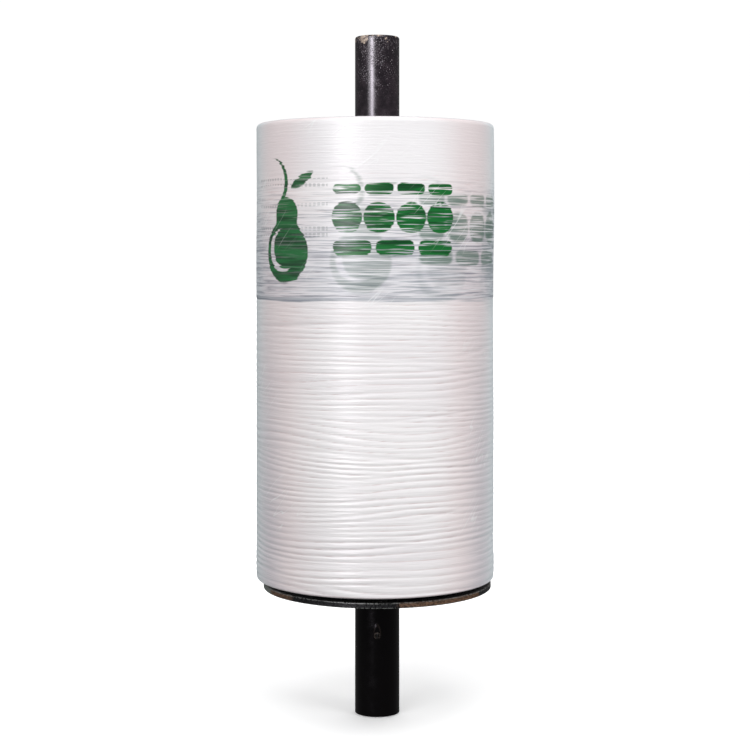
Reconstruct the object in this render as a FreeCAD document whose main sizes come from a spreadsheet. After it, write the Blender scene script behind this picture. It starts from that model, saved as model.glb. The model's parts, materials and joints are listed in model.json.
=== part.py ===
import FreeCAD, Part

import os

import Sketcher

# A roll of tear-off produce bags on its post. A round steel post carries a welded support
# disc; a paper-cored roll of film bags stands on the disc, spins on the post and lifts off
# over its top. The post's lower end plugs into, or bolts onto, a stand.
#
# Frame: millimetres, +Z up the post, origin at the centre of the post's lower end face.
# The front, where the outer bag's print faces, looks along -Y.

SIZES = {
    # the post, a 1 in steel tube
    "post_diameter": 25.4,
    "post_wall": 1.65,
    "post_height": 386.3,
    "post_edge_radius": 1.3,
    "end_plug_depth": 8.0,
    "end_plug_recess": 1.0,
    # the foot: a threaded insert held inside the post by a slotted spring pin
    "insert_diameter": 22.0,
    "insert_height": 60.0,
    "insert_chamfer": 1.0,
    "thread_depth": 32.0,
    "pin_diameter": 4.0,
    "pin_wall": 0.8,
    "pin_length": 25.0,
    "pin_height": 46.0,
    "pin_slot": 1.0,
    "pin_chamfer": 0.25,
    "pin_hole_diameter": 4.1,
    # the support disc and the weld bead that holds it to the post
    "disc_diameter": 130.0,
    "disc_thickness": 3.0,
    "disc_underside": 72.1,
    "disc_hole_diameter": 25.6,
    "disc_edge_radius": 0.5,
    "weld_leg": 4.0,
    # the slip washer that the roll turns on
    "washer_diameter": 60.0,
    "washer_thickness": 1.5,
    "washer_edge_radius": 0.3,
    # the roll, which leans against one side of the post
    "roll_offset": -1.3,
    "core_bore": 28.6,
    "core_wall": 3.0,
    "core_overhang": 1.0,
    "core_chamfer": 0.4,
    "film_width": 258.2,
    "film_diameter": 136.0,
    "film_edge_radius": 3.0,
    # the two outermost bags of the roll, each a sheet that winds on with a small pitch
    "bag_length": 381.0,
    "sheet_thickness": 0.25,
    "sheet_pitch": 0.4,
    "tail_angle": 70.0,
}

# Heights and radii that several pieces share, as formulas of the sheet
POST_RADIUS = "Sizes.post_diameter / 2"
POST_BORE_RADIUS = "Sizes.post_diameter / 2 - Sizes.post_wall"
DISC_TOP = "Sizes.disc_underside + Sizes.disc_thickness"
CORE_BOTTOM = f"{DISC_TOP} + Sizes.washer_thickness"
FILM_BOTTOM = f"{CORE_BOTTOM} + Sizes.core_overhang"
BAG_TURNS = "(Sizes.bag_length / (pi * Sizes.film_diameter))"
BAG_GROWTH = f"{BAG_TURNS} * Sizes.sheet_pitch"

doc = FreeCAD.newDocument("BagRollPost")
sheet = doc.addObject("Spreadsheet::Sheet", "Sizes")


def fill_sheet():
    """Writes each driving dimension beside its name, with the name as the cell's alias."""
    for row, (name, value) in enumerate(SIZES.items(), start=1):
        sheet.set(f"A{row}", name)
        sheet.set(f"B{row}", str(value))
        sheet.setAlias(f"B{row}", name)
    doc.recompute()


def value_of(formula):
    """The number that a formula of the sheet gives now."""
    return float(sheet.evalExpression(formula))


def place(piece, centre="0", height="0", turn="0"):
    """Puts a piece at a height, with its axis at X = centre, turned about Z by turn degrees."""
    piece.setExpression(".Placement.Base.x", centre)
    piece.setExpression(".Placement.Base.z", height)
    piece.setExpression(".Placement.Rotation.Angle", turn)


def new_body(label):
    body = doc.addObject("PartDesign::Body", label)
    body.Label = label
    return body


def new_sketch(body, name, plane):
    """A sketch of the body on one of its own origin planes, such as XY_Plane."""
    sketch = body.newObject("Sketcher::SketchObject", name)
    support = next(o for o in body.Origin.OriginFeatures if o.Role == plane)
    sketch.AttachmentSupport = (support, "")
    sketch.MapMode = "FlatFace"
    return sketch


def bind_point(sketch, item, end, across, along):
    """Fixes one point of a sketch item to formulas of its two coordinates."""
    for kind, formula, axis in (("DistanceX", across, -2), ("DistanceY", along, -1)):
        if formula == "0":
            sketch.addConstraint(Sketcher.Constraint("PointOnObject", item, end, axis))
            continue
        rule = Sketcher.Constraint(kind, -1, 1, item, end, value_of(formula))
        index = sketch.addConstraint(rule)
        sketch.setExpression(f"Constraints[{index}]", formula)


def draw_circle(sketch, radius, across="0", along="0"):
    """Draws a circle of a radius formula about a centre given by two formulas."""
    centre = FreeCAD.Vector(value_of(across), value_of(along), 0)
    up = FreeCAD.Vector(0, 0, 1)
    item = sketch.addGeometry(Part.Circle(centre, up, value_of(radius)))
    bind_point(sketch, item, 3, across, along)
    index = sketch.addConstraint(Sketcher.Constraint("Radius", item, value_of(radius)))
    sketch.setExpression(f"Constraints[{index}]", radius)


def draw_outline(sketch, corners):
    """Draws a closed outline of straight edges through corners, each a pair of formulas."""
    points = [FreeCAD.Vector(value_of(x), value_of(y), 0) for x, y in corners]
    items = []
    for start, end in zip(points, points[1:] + points[:1]):
        items.append(sketch.addGeometry(Part.LineSegment(start, end)))
    for item, following in zip(items, items[1:] + items[:1]):
        sketch.addConstraint(Sketcher.Constraint("Coincident", item, 2, following, 1))
    for item, (across, along) in zip(items, corners):
        bind_point(sketch, item, 1, across, along)


def pad(body, sketch, length, symmetric=False):
    feature = body.newObject("PartDesign::Pad", "Pad")
    feature.Profile = sketch
    feature.Midplane = symmetric
    feature.setExpression("Length", length)
    doc.recompute()
    return feature


def revolve(body, sketch):
    """Turns a sketch of the XZ plane about the body's Z axis."""
    feature = body.newObject("PartDesign::Revolution", "Revolution")
    feature.Profile = sketch
    feature.ReferenceAxis = (sketch, ["V_Axis"])
    feature.Angle = 360
    doc.recompute()
    return feature


def cut_through(body, sketch):
    """Cuts a sketch of the body's middle plane through the whole body, both ways."""
    before = body.Shape.Volume
    feature = body.newObject("PartDesign::Pocket", "CrossCut")
    feature.Profile = sketch
    feature.Type = "ThroughAll"
    feature.Midplane = True
    doc.recompute()
    if not body.Shape.Volume < before:
        raise RuntimeError(f"{body.Label}: the cut removed nothing")
    return feature


def rims(shape, radius, height):
    """Names of the shape's round edges of one radius at one height."""
    names = []
    for number, edge in enumerate(shape.Edges, start=1):
        curve = edge.Curve
        if not isinstance(curve, Part.Circle):
            continue
        if abs(curve.Radius - radius) < 1e-4 and abs(curve.Center.z - height) < 1e-4:
            names.append(f"Edge{number}")
    return names


def dress(body, kind, edges, size):
    """Adds a PartDesign Fillet or Chamfer of a size formula to edges of the body's last feature."""
    base = body.Tip
    feature = body.newObject(f"PartDesign::{kind}", kind)
    feature.Base = (base, edges)
    feature.setExpression("Radius" if kind == "Fillet" else "Size", size)
    doc.recompute()
    return feature


def ring_body(label, outer_radius, inner_radius, length):
    """A body padded up from Z = 0 between two circles."""
    body = new_body(label)
    sketch = new_sketch(body, "Ring", "XY_Plane")
    draw_circle(sketch, outer_radius)
    draw_circle(sketch, inner_radius)
    pad(body, sketch, length)
    return body


def post_tube():
    """The post: a tube with a rounded upper edge and a cross hole for the spring pin."""
    body = new_body("post_tube")
    wall = new_sketch(body, "Wall", "XZ_Plane")
    top = "Sizes.post_height"
    draw_outline(
        wall,
        [(POST_BORE_RADIUS, "0"), (POST_RADIUS, "0"), (POST_RADIUS, top), (POST_BORE_RADIUS, top)],
    )
    tube = revolve(body, wall)
    edge = rims(tube.Shape, value_of(POST_RADIUS), value_of(top))
    dress(body, "Fillet", edge, "Sizes.post_edge_radius")
    hole = new_sketch(body, "PinHole", "XZ_Plane")
    draw_circle(hole, "Sizes.pin_hole_diameter / 2", along="Sizes.pin_height")
    cut_through(body, hole)


def end_plug():
    """A plug pressed into the post's top, just below the rounded edge."""
    body = new_body("end_plug")
    face = new_sketch(body, "Face", "XY_Plane")
    draw_circle(face, POST_BORE_RADIUS)
    plug = pad(body, face, "Sizes.end_plug_depth")
    edge = rims(plug.Shape, value_of(POST_BORE_RADIUS), 0.0)
    dress(body, "Chamfer", edge, "Sizes.insert_chamfer")
    place(body, height="Sizes.post_height - Sizes.end_plug_recess - Sizes.end_plug_depth")


def foot_insert():
    """The steel insert in the post's foot, with an M12 blind hole up from the foot."""
    body = new_body("foot_insert")
    face = new_sketch(body, "Face", "XY_Plane")
    draw_circle(face, "Sizes.insert_diameter / 2")
    slug = pad(body, face, "Sizes.insert_height")
    radius = value_of("Sizes.insert_diameter / 2")
    ends = rims(slug.Shape, radius, 0.0) + rims(slug.Shape, radius, value_of("Sizes.insert_height"))
    dress(body, "Chamfer", ends, "Sizes.insert_chamfer")
    cross = new_sketch(body, "PinHole", "XZ_Plane")
    draw_circle(cross, "Sizes.pin_hole_diameter / 2", along="Sizes.pin_height")
    cut_through(body, cross)
    # The hole takes its place from this circle's centre, and its width from the thread
    mouth = new_sketch(body, "ThreadMouth", "XY_Plane")
    draw_circle(mouth, "Sizes.insert_diameter / 4")
    doc.recompute()
    before = body.Shape.Volume
    hole = body.newObject("PartDesign::Hole", "ThreadedHole")
    hole.Profile = mouth
    hole.Reversed = True
    hole.ThreadType = "ISOMetricProfile"
    hole.ThreadSize = "M12x1.75"
    hole.Threaded = True
    hole.ModelThread = False
    hole.DepthType = "Dimension"
    hole.DrillPoint = "Angled"
    hole.setExpression("Depth", "Sizes.thread_depth")
    doc.recompute()
    if not body.Shape.Volume < before:
        raise RuntimeError("foot_insert: the threaded hole removed nothing")


def spring_pin():
    """A slotted spring pin across the post, from front to back, with its slot downwards."""
    body = new_body("spring_pin")
    section = new_sketch(body, "Section", "XZ_Plane")
    draw_circle(section, "Sizes.pin_diameter / 2")
    draw_circle(section, "Sizes.pin_diameter / 2 - Sizes.pin_wall")
    pin = pad(body, section, "Sizes.pin_length", symmetric=True)
    radius = value_of("Sizes.pin_diameter / 2")
    dress(body, "Chamfer", rims(pin.Shape, radius, 0.0), "Sizes.pin_chamfer")
    slot = new_sketch(body, "Slot", "XZ_Plane")
    left, right = "-Sizes.pin_slot / 2", "Sizes.pin_slot / 2"
    draw_outline(
        slot,
        [(left, "-Sizes.pin_diameter"), (right, "-Sizes.pin_diameter"), (right, "0"), (left, "0")],
    )
    cut_through(body, slot)
    place(body, height="Sizes.pin_height")


def support_disc():
    """The round plate that the roll stands on."""
    body = ring_body(
        "support_disc", "Sizes.disc_diameter / 2", "Sizes.disc_hole_diameter / 2", "Sizes.disc_thickness"
    )
    radius = value_of("Sizes.disc_diameter / 2")
    plate = body.Shape
    edges = rims(plate, radius, 0.0) + rims(plate, radius, value_of("Sizes.disc_thickness"))
    dress(body, "Fillet", edges, "Sizes.disc_edge_radius")
    place(body, height="Sizes.disc_underside")


def disc_weld():
    """The fillet bead around the post, under the disc."""
    body = new_body("disc_weld")
    section = new_sketch(body, "Section", "XZ_Plane")
    draw_outline(
        section,
        [(POST_RADIUS, "-Sizes.weld_leg"), (f"{POST_RADIUS} + Sizes.weld_leg", "0"), (POST_RADIUS, "0")],
    )
    revolve(body, section)
    place(body, height="Sizes.disc_underside")


def slip_washer():
    """The plastic washer between the disc and the roll's core."""
    body = ring_body(
        "slip_washer", "Sizes.washer_diameter / 2", "Sizes.core_bore / 2", "Sizes.washer_thickness"
    )
    washer = body.Shape
    radius = value_of("Sizes.washer_diameter / 2")
    edges = rims(washer, radius, 0.0) + rims(washer, radius, value_of("Sizes.washer_thickness"))
    dress(body, "Fillet", edges, "Sizes.washer_edge_radius")
    place(body, centre="Sizes.roll_offset", height=DISC_TOP)


def paper_core():
    """The board tube that the bags are wound on, a little longer than the film is wide."""
    outside = "Sizes.core_bore / 2 + Sizes.core_wall"
    length = "Sizes.film_width + 2 * Sizes.core_overhang"
    body = ring_body("paper_core", outside, "Sizes.core_bore / 2", length)
    core = body.Shape
    edges = rims(core, value_of(outside), 0.0) + rims(core, value_of(outside), value_of(length))
    dress(body, "Chamfer", edges, "Sizes.core_chamfer")
    place(body, centre="Sizes.roll_offset", height=CORE_BOTTOM)


def wound_bags():
    """All the bags beneath the two outermost, as one wound mass with softly rounded ends."""
    outside = f"Sizes.film_diameter / 2 - Sizes.sheet_pitch - 2 * {BAG_GROWTH}"
    body = ring_body(
        "wound_bags", outside, "Sizes.core_bore / 2 + Sizes.core_wall", "Sizes.film_width"
    )
    film = body.Shape
    radius = value_of(outside)
    edges = rims(film, radius, 0.0) + rims(film, radius, value_of("Sizes.film_width"))
    dress(body, "Fillet", edges, "Sizes.film_edge_radius")
    place(body, centre="Sizes.roll_offset", height=FILM_BOTTOM)


def bag_sheet(label, position):
    """One bag as a spiral sheet; position 1 is the outermost bag, 2 the one it tears off from.

    The web winds on anticlockwise from above and ends at the outer bag's free tail.
    """
    spine = doc.addObject("Part::Spiral", f"{label}_spine")
    reach = f"Sizes.film_diameter / 2 - Sizes.sheet_thickness - {position} * {BAG_GROWTH}"
    spine.setExpression("Radius", reach)
    spine.setExpression("Growth", "Sizes.sheet_pitch")
    spine.setExpression("Rotations", BAG_TURNS)
    edge = doc.addObject("Part::Plane", f"{label}_edge")
    edge.setExpression("Length", "Sizes.sheet_thickness")
    edge.setExpression("Width", "Sizes.film_width")
    edge.Placement.Rotation = FreeCAD.Rotation(FreeCAD.Vector(1, 0, 0), 90)
    edge.setExpression(".Placement.Base.x", reach)
    sheet_piece = doc.addObject("Part::Sweep", label)
    sheet_piece.Label = label
    sheet_piece.Sections = [edge]
    sheet_piece.Spine = (spine, ["Edge1"])
    sheet_piece.Solid = True
    sheet_piece.Frenet = True
    doc.recompute()
    start = f"Sizes.tail_angle - 360 * {position} * {BAG_TURNS}"
    place(sheet_piece, centre="Sizes.roll_offset", height=FILM_BOTTOM, turn=start)


def build():
    fill_sheet()
    post_tube()
    end_plug()
    foot_insert()
    spring_pin()
    support_disc()
    disc_weld()
    slip_washer()
    paper_core()
    wound_bags()
    bag_sheet("outer_bag", 1)
    bag_sheet("next_bag", 2)
    doc.recompute()


def check_document():
    """Stops if any object failed to compute."""
    for item in doc.Objects:
        if "Invalid" in item.State or "Error" in item.State:
            raise RuntimeError(f"{item.Label} is in state {item.State}")


def sub_parts():
    """The pieces to write: every body and every bag sheet."""
    kinds = ("PartDesign::Body", "Part::Sweep")
    return [item for item in doc.Objects if item.TypeId in kinds]


def write_parts():
    os.makedirs("parts", exist_ok=True)
    pieces = sub_parts()
    for piece in pieces:
        if piece.Shape.isNull() or not piece.Shape.isValid() or not piece.Shape.Solids:
            raise RuntimeError(f"{piece.Label} has no valid solid")
    for piece in pieces:
        piece.Shape.exportStep(f"parts/{piece.Label}.step")
        box = piece.Shape.BoundBox
        print(
            f"{piece.Label}: volume {piece.Shape.Volume:.1f} mm3, "
            f"x {box.XMin:.2f} to {box.XMax:.2f}, y {box.YMin:.2f} to {box.YMax:.2f}, "
            f"z {box.ZMin:.2f} to {box.ZMax:.2f}"
        )


build()
check_document()
write_parts()
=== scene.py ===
"""A roll of tear-off produce bags on its post: the film, the finishes and the studio.

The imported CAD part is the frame. Its post, disc, core and small parts keep their shapes and get
their finishes here. The three film nodes and the weld are replaced by modelled pieces.
Lengths are metres. Angles run anticlockwise from +X as seen from above, and the front is -Y.
"""

import json
import math

import bpy
import numpy as np
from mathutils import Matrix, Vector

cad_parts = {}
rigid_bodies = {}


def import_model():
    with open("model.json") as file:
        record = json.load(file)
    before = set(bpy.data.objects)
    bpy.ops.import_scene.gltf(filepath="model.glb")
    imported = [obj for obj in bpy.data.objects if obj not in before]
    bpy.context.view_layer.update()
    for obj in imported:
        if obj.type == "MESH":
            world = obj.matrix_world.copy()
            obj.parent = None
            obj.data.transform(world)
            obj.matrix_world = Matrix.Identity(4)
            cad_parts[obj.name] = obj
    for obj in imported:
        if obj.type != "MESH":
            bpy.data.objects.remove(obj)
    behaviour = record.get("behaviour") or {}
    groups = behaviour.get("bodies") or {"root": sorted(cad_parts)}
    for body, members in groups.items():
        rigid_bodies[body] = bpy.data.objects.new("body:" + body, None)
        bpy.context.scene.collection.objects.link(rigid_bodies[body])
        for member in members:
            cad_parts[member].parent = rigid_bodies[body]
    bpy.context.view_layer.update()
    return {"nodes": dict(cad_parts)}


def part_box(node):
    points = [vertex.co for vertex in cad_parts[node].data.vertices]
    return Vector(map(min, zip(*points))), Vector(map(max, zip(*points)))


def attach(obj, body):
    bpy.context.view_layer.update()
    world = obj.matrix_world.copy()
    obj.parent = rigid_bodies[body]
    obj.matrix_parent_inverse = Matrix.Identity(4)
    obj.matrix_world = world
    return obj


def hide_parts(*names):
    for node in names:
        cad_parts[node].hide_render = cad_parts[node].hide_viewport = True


MM = 0.001
TURN = 2 * math.pi
RNG = np.random.default_rng(515)

# The printed band's two edges, as heights above the film's lower edge
BAND_BOTTOM = 159.4 * MM
BAND_TOP = 231.6 * MM

# Spacing of the film's mesh rows and columns. The roll beneath the sheets keeps every third row.
RIDGE_STEP = 0.55 * MM
BAND_STEP = 0.8 * MM
SMOOTH_STEP = 1.3 * MM
COLUMN_ANGLE = math.radians(2.8)
KEPT_ROW = 3

# The rounded corners where the film turns over at the roll's two ends
CORNER_INSET = 1.9 * MM
LOWER_CORNER = 1.3 * MM
UPPER_CORNER = 2.6 * MM
CORNER_ROWS = 6

# The two outer sheets, and how near an angle must be to count as at a bag's end
SHEET_THICKNESS = 0.15 * MM
END_REACH = math.radians(0.5)

# The rest of the roll: its depth under the sheets, and the layers' edges on its end faces
WOUND_INSIDE = 1.1 * MM
WOUND_OUTSET = 0.4 * MM
BORE_GAP = 0.05 * MM
END_INSET = 0.4 * MM
END_STEP = 0.55 * MM
END_DEPTH = 0.6 * MM
RING_SPACINGS = (1.9 * MM, 2.7 * MM, 4.3 * MM, 7.9 * MM)
RING_DRIFT = 0.35

# Two families of ridges: their spacing, and how many spacings two noises shift them
FIRST_RIDGES = {"spacing": 2.8 * MM, "slow": 1.3, "fine": 0.34}
OTHER_RIDGES = {"spacing": 3.8 * MM, "slow": 1.2, "fine": 0.30}

# Heights up the film and how tall the ridges are there, in mm
RIDGE_TALLNESS = [
    (0.0, 0.48),
    (25.0, 0.46),
    (90.0, 0.36),
    (150.0, 0.22),
    (160.0, 0.16),
    (225.0, 0.12),
    (238.0, 0.02),
    (257.0, 0.01),
]
TALLNESS_VARIES = 0.6
RIDGE_MEAN = 0.75

# Long slanting pulls that cross the ridges
CREASE_COUNT = 44

# The roll's slow swelling: uneven all over, fuller near its foot and toward its top
SWELL = 0.34 * MM
FOOT_BULGE = 0.5 * MM
FOOT_BULGE_HEIGHT = 9 * MM
UPPER_SWELL = 0.3 * MM
UPPER_SWELL_FROM = 140 * MM
UPPER_SWELL_RISE = 60 * MM
SURFACE_INSET = 0.25 * MM

# The free tail stands off the roll in waves, curls at its corners, and has a torn, uneven edge
TAIL_LIFT = 1.3 * MM
TAIL_SPAN = math.radians(10)
TAIL_WANDER = math.radians(1.1)
TAIL_CURL = 2.2 * MM
TAIL_CORNER = 16 * MM
TAIL_TEETH = math.radians(0.35)

# The perforation at a bag's end: slits up its height, with joined film between them
SLIT_PITCH = 5.2 * MM
SLIT_SHARE = 0.55
SLIT_OPENING = math.radians(0.12)

# The weld under the disc
WELD_COLUMNS = 288
WELD_ROWS = 9
WELD_RIPPLES = 26

# The print, in mm round the roll from the front and mm above the post's foot. Each deeper bag's
# print lies one step further round and one drop lower.
BAG_STEP = 47.1
GHOST_DROP = 5.2
SIDE_RADIUS = 68.0

# The emblem's circles, each as its middle and its radius
PEAR_BELLY = (-55.0, 263.0, 16.8)
PEAR_NECK = (-54.0, 284.5, 8.8)
PEAR_WAIST_BLEND = 9.0
HIGHLIGHT_OUTSIDE = (-57.0, 264.0, 11.6)
HIGHLIGHT_INSIDE = (-53.6, 265.2, 11.4)
LEAF_LOWER_SIDE = (-48.0, 312.5, 14.5)
LEAF_UPPER_SIDE = (-37.0, 292.0, 14.5)
STALK_OUTSIDE = (-66.0, 301.0, 13.4)
STALK_INSIDE = (-68.5, 301.5, 13.2)
STALK_FOOT = 290.0

# Rows of green bars and dots beside the emblem
ROW_START = -24.0
ROW_LENGTH = 70.0
PRINT_ROWS = [
    {"middle": 297.0, "tall": 6.6, "long": 15.6, "pitch": ROW_LENGTH / 4},
    {"middle": 281.6, "tall": 16.8, "long": 16.8, "pitch": ROW_LENGTH / 4},
    {"middle": 265.4, "tall": 8.4, "long": 21.2, "pitch": ROW_LENGTH / 3},
]

# Rows of small grey dashes that run past the emblem
DASH_START = -84.0
DASH_LENGTH = 58.0
DASH_ROWS = [
    {"middle": middle, "tall": 1.3, "long": 2.0, "pitch": 2.7}
    for middle in (303.0, 299.5, 288.5, 276.0, 272.5)
]

# Deeper bags' print that shows through the film: layers down, strength and shade
GHOSTS = [
    (4, 0.22, (140, 152, 160)),
    (3, 0.30, (132, 146, 152)),
    (2, 0.44, (108, 128, 130)),
    (1, 0.74, (84, 116, 100)),
]
GHOST_EMBLEM = 0.60

# How soft the print's edges are, how much softer with each layer down, and how far the film's
# streaks shift the print up and down, in mm
PRINT_SOFT = 0.35
GHOST_SOFT = 0.5
GHOST_SOFTER = 0.6
PRINT_WOBBLE = 5.0

# The core's spiral: how far it climbs in a turn, and the thickness of one ply
CORE_PITCH = 75 * MM
CORE_PLY = 0.5 * MM

# The largest chip in the post's enamel, at the edge of its upper end
CHIP_SIDE = (-7.6 * MM, -10.2 * MM)
CHIP_DROP = 2.2 * MM
CHIP_RADIUS = 4.0 * MM

# A run of thick enamel that ends round the spring pin
RUN_RADIUS = 2.5 * MM
RUN_STRETCH = 0.32

# Stretches of the disc's rim worn to brown, as angles from the front toward +X
WORN_ARCS = [
    (math.radians(-66), math.radians(-46)),
    (math.radians(10.5), math.radians(60)),
]
# A stretch of the rim's left front painted pale grey-green as a reflection, as angles the same way
REFLECTION_ARC = (math.radians(-94), math.radians(-66))
ARC_SOFT = math.radians(1.5)
WORN_FRONT = math.radians(85)

# How bright the white surround is to the camera, as fill light and in reflections
SEEN_WHITE = 1.02
FILL_WHITE = 0.40
REFLECTED_WHITE = 0.11

# The floor, just under the post's foot
FLOOR_RADIUS = 9.0
FLOOR_GAP = 0.5 * MM

CAMERA_PLACE = (-0.00126, -0.978, 0.263)
CAMERA_LENS = 81.9
CAMERA_SHIFT = -0.1637
CAMERA_NEAR = 0.5 * MM

STUDIO_MIDDLE = (0.0, 0.0, 0.22)


# ---------------------------------------------------------------- shared helpers


def clear_start_scene():
    """Removes Blender's startup cube, light and camera, which would count as pieces."""
    for thing in list(bpy.data.objects):
        bpy.data.objects.remove(thing)


def ease(share):
    """Smooth step from 0 to 1."""
    share = np.clip(share, 0.0, 1.0)
    return share * share * (3 - 2 * share)


def noise_field(around, up):
    """A smooth random field over the roll's side, from -1 to 1, with no seam around the roll."""
    knots = RNG.uniform(-1.0, 1.0, (around, up + 1))

    def field(angle, height):
        across = (angle / TURN % 1.0) * around
        along = np.clip(height / FILM_WIDTH, 0.0, 0.9999) * up
        column = np.floor(across).astype(int)
        row = np.floor(along).astype(int)
        side = ease(across - column)
        rise = ease(along - row)
        here = column % around
        beside = (column + 1) % around
        lower = knots[here, row] * (1 - side) + knots[beside, row] * side
        upper = knots[here, row + 1] * (1 - side) + knots[beside, row + 1] * side
        return lower * (1 - rise) + upper * rise

    return field


def add_mesh(name, points, closed_round, closed_across=False):
    """A grid mesh from points[row, column]; it may close around its columns and its rows."""
    rows, columns = points.shape[:2]
    row = np.arange(rows if closed_across else rows - 1)
    column = np.arange(columns if closed_round else columns - 1)
    row, column = np.meshgrid(row, column, indexing="ij")
    above = (row + 1) % rows
    beside = (column + 1) % columns
    corners = [
        row * columns + column,
        row * columns + beside,
        above * columns + beside,
        above * columns + column,
    ]
    faces = np.stack(corners, axis=-1).reshape(-1, 4)
    mesh = bpy.data.meshes.new(name)
    mesh.from_pydata(points.reshape(-1, 3).tolist(), [], faces.tolist())
    mesh.shade_smooth()
    piece = bpy.data.objects.new(name, mesh)
    bpy.context.scene.collection.objects.link(piece)
    return piece


def add_values(piece, name, values):
    """Stores one number for each vertex, for the piece's material to read."""
    layer = piece.data.attributes.new(name, "FLOAT", "POINT")
    layer.data.foreach_set("value", values.astype(np.float32).ravel())


def ring_points(radius, angle, height):
    """Points on the roll from arrays of radius, angle and height above the film's lower edge."""
    across = ROLL_CENTRE + radius * np.cos(angle)
    along = radius * np.sin(angle)
    up = np.broadcast_to(FILM_BOTTOM + height, across.shape)
    return np.stack([across, along, up], axis=-1)


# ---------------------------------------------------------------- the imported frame


clear_start_scene()
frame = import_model()

wound_low, wound_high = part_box("wound_bags")
ROLL_CENTRE = (wound_low.x + wound_high.x) / 2
WOUND_RADIUS = (wound_high.x - wound_low.x) / 2
FILM_BOTTOM = wound_low.z
FILM_WIDTH = wound_high.z - wound_low.z
core_low, core_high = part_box("paper_core")
CORE_RADIUS = (core_high.x - core_low.x) / 2
post_low, post_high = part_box("post_tube")
POST_RADIUS = post_high.x
POST_TOP = post_high.z
disc_low, disc_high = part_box("support_disc")
DISC_RADIUS = disc_high.x
DISC_UNDERSIDE = disc_low.z
DISC_TOP = disc_high.z

# The printed band's edges in mm above the post's foot, as the print's other heights are
BAND_FROM = (FILM_BOTTOM + BAND_BOTTOM) * 1000
BAND_TO = (FILM_BOTTOM + BAND_TOP) * 1000


def sheet_ends(node):
    """Angle and outside radius of a CAD bag's two ends: where it starts, then its free end."""
    corners = np.array([vertex.co for vertex in frame["nodes"][node].data.vertices])
    across = corners[:, 0] - ROLL_CENTRE
    radius = np.hypot(across, corners[:, 1])
    angle = np.arctan2(corners[:, 1], across) % TURN
    inner = int(np.argmin(radius))
    outer = int(np.argmax(radius))
    at_free_end = np.abs(angle - angle[outer]) < END_REACH
    thickness = radius[outer] - radius[at_free_end].min()
    length = (angle[outer] - angle[inner]) % TURN
    return (angle[inner], radius[inner] + thickness), (angle[inner] + length, radius[outer])


# ---------------------------------------------------------------- how the film wrinkles


slow_drift = noise_field(4, 7)
fine_drift = noise_field(9, 30)
other_drift = noise_field(5, 9)
other_fine = noise_field(11, 34)
ridge_choice = noise_field(6, 22)
ridge_strength = noise_field(7, 54)
roll_swell = noise_field(4, 6)
tail_wave = noise_field(12, 9)
tail_edge = noise_field(12, 6)


def crest(phase):
    """0 in narrow valleys, one for each whole step of the phase, and 1 on the rounds between."""
    return np.abs(np.sin(math.pi * phase)) ** 0.5


def ridge_family(family, slow, fine, angle, height):
    """Evenly spaced ridges shifted up and down by a slow and a fine noise."""
    phase = height / family["spacing"] + family["slow"] * slow(angle, height)
    return crest(phase + family["fine"] * fine(angle, height))


def ridges(angle, height):
    """The film's ridges that run round the roll, drift, join and part."""
    first = ridge_family(FIRST_RIDGES, slow_drift, fine_drift, angle, height)
    other = ridge_family(OTHER_RIDGES, other_drift, other_fine, angle, height)
    share = ease(0.5 + 1.3 * ridge_choice(angle, height))
    return first * (1 - share) + other * share


CREASES = [
    {
        "start": RNG.uniform(0, TURN),
        "span": RNG.uniform(0.5, 1.7),
        "height": RNG.uniform(4, 150) * MM,
        "slope": RNG.uniform(-9.0, 9.0) * MM,
        "depth": RNG.uniform(0.12, 0.36) * MM,
        "width": RNG.uniform(0.8, 1.3) * MM,
    }
    for _ in range(CREASE_COUNT)
]


def creases(angle, height):
    """Long slanting pulls that cross the ridges, as a depth that is zero or less."""
    depth = np.zeros(np.broadcast(angle, height).shape)
    for crease in CREASES:
        along = (angle - crease["start"]) % TURN
        reach = along / crease["span"]
        strength = np.where(reach < 1, np.sin(math.pi * np.clip(reach, 0, 1)), 0.0)
        middle = crease["height"] + crease["slope"] * along
        distance = (height - middle) / crease["width"]
        depth -= crease["depth"] * strength * np.exp(-distance * distance)
    return depth


def ridge_height(height):
    """How tall the ridges are: most at the foot, less in the print, nearly none above it."""
    levels, tallness = np.array(RIDGE_TALLNESS).T * MM
    return np.interp(height, levels, tallness)


def relief(angle, height):
    """How far the film's surface stands out from its mean radius."""
    tallness = ridge_height(height) * (1 + TALLNESS_VARIES * ridge_strength(angle, height))
    swell = SWELL * roll_swell(angle, height)
    from_foot = (height - FOOT_BULGE_HEIGHT) / FOOT_BULGE_HEIGHT
    foot_bulge = FOOT_BULGE * np.exp(-(from_foot ** 2))
    upper_swell = UPPER_SWELL * ease((height - UPPER_SWELL_FROM) / UPPER_SWELL_RISE)
    shape = tallness * (ridges(angle, height) - RIDGE_MEAN)
    return shape + creases(angle, height) + swell + foot_bulge + upper_swell - SURFACE_INSET


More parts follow.
